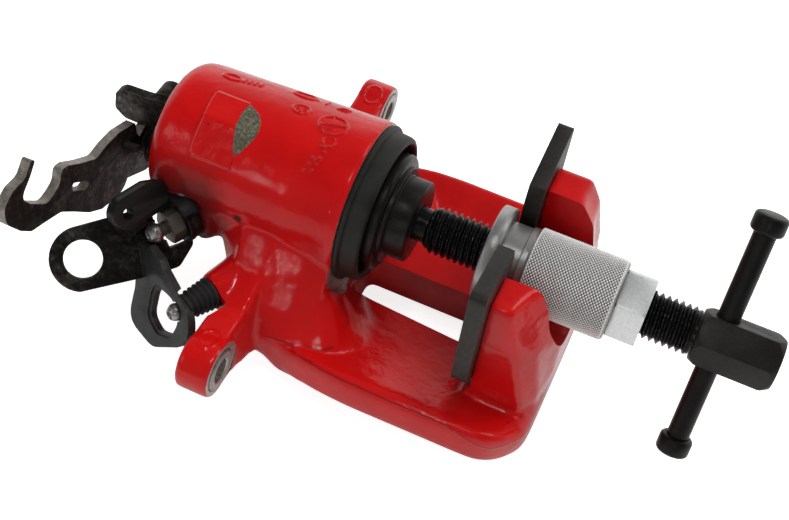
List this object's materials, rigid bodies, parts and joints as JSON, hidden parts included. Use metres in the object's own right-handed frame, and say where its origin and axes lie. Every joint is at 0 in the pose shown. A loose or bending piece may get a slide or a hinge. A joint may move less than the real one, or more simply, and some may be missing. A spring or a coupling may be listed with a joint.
{
  "type": "brake caliper with piston wind-back tool",
  "caption": "Rear disc brake caliper with parking lever, clamped by a T-handled screw tool that turns and winds its piston back through a knurled sleeve nut and a slotted reaction plate.",
  "frame": {"origin": "centre of the cylinder mouth, on the piston axis", "axes": "+X along the piston and spindle axis towards the T handle, +Y across the caliper from the ear on the bleed screw's side to the other ear, +Z from the bridge towards the open side"},
  "size_m": [0.2634, 0.1712, 0.1044],
  "materials": {
    "red_enamel": "gloss red enamel over cast iron, bare metal on the machined faces",
    "black_oxide_steel": "black oxide, satin",
    "worn_bare_steel": "worn dark forged steel, mottled",
    "satin_steel": "satin machined steel",
    "ground_steel": "ground steel",
    "zinc_steel": "dull zinc plate",
    "black_rubber": "matte moulded rubber"
  },
  "bodies": {
    "caliper": {"caliper_housing": "red_enamel", "guide_bush_near": "ground_steel", "guide_bush_far": "ground_steel", "piston_seal": "black_rubber", "dust_boot": "black_rubber", "adjuster_screw": "zinc_steel", "shaft_bush": "zinc_steel", "shaft_seal": "black_rubber", "return_spring": "worn_bare_steel", "stop_bracket": "worn_bare_steel", "stop_screw": "zinc_steel", "spring_bracket": "black_oxide_steel", "cable_eye_bracket": "worn_bare_steel", "hose_bracket": "black_oxide_steel", "lower_nipple_stud": "zinc_steel", "stud_bellows": "black_rubber"},
    "adjuster_carrier": {"adjuster_spring": "zinc_steel"},
    "wind_spindle": {"spindle_screw": "black_oxide_steel", "handle_block": "black_oxide_steel", "adapter_disc": "black_oxide_steel", "drive_pin_a": "ground_steel", "drive_pin_b": "ground_steel", "caliper_piston": "satin_steel", "adjuster_nut": "zinc_steel"},
    "t_handle": {"t_bar": "black_oxide_steel", "t_bar_cap_upper": "black_oxide_steel", "t_bar_cap_lower": "black_oxide_steel"},
    "sleeve_nut": {"knurled_sleeve": "satin_steel"},
    "slotted_plate": {"reaction_plate": "black_oxide_steel"},
    "brake_lever": {"parking_lever": "worn_bare_steel", "spring_pin": "worn_bare_steel", "lever_shaft": "zinc_steel"},
    "bleeder": {"bleed_screw": "zinc_steel"}
  },
  "joints": [
    {"name": "piston_travel", "type": "slide", "parent": "caliper", "child": "adjuster_carrier", "axis": [1, 0, 0], "range_m": [-0.00313, 0.02063]},
    {"name": "spindle_turn", "type": "hinge", "parent": "adjuster_carrier", "child": "wind_spindle", "pos_m": [0.1, 0, 0], "axis": [1, 0, 0], "range_deg": [-450, 2970]},
    {"name": "t_bar_slide", "type": "slide", "parent": "wind_spindle", "child": "t_handle", "axis": [0, 0.5299, 0.848], "range_m": [-0.032, 0.028]},
    {"name": "sleeve_turn", "type": "hinge", "parent": "caliper", "child": "sleeve_nut", "pos_m": [0.08, 0, 0], "axis": [1, 0, 0], "continuous": true},
    {"name": "plate_drop", "type": "slide", "parent": "caliper", "child": "slotted_plate", "axis": [0, 0, 1], "range_m": [-0.004, 0]},
    {"name": "lever_swing", "type": "hinge", "parent": "caliper", "child": "brake_lever", "pos_m": [-0.0948, 0, -0.013], "axis": [1, 0, 0], "range_deg": [-12, 8]},
    {"name": "bleed_open", "type": "hinge", "parent": "caliper", "child": "bleeder", "pos_m": [-0.06, -0.0285, -0.0128], "axis": [-0.45, -0.893, 0], "range_deg": [0, 270]}
  ],
  "couplings": [
    {"joint": "piston_travel", "follows": "spindle_turn", "m_per_rad": 0.00039789}
  ]
}
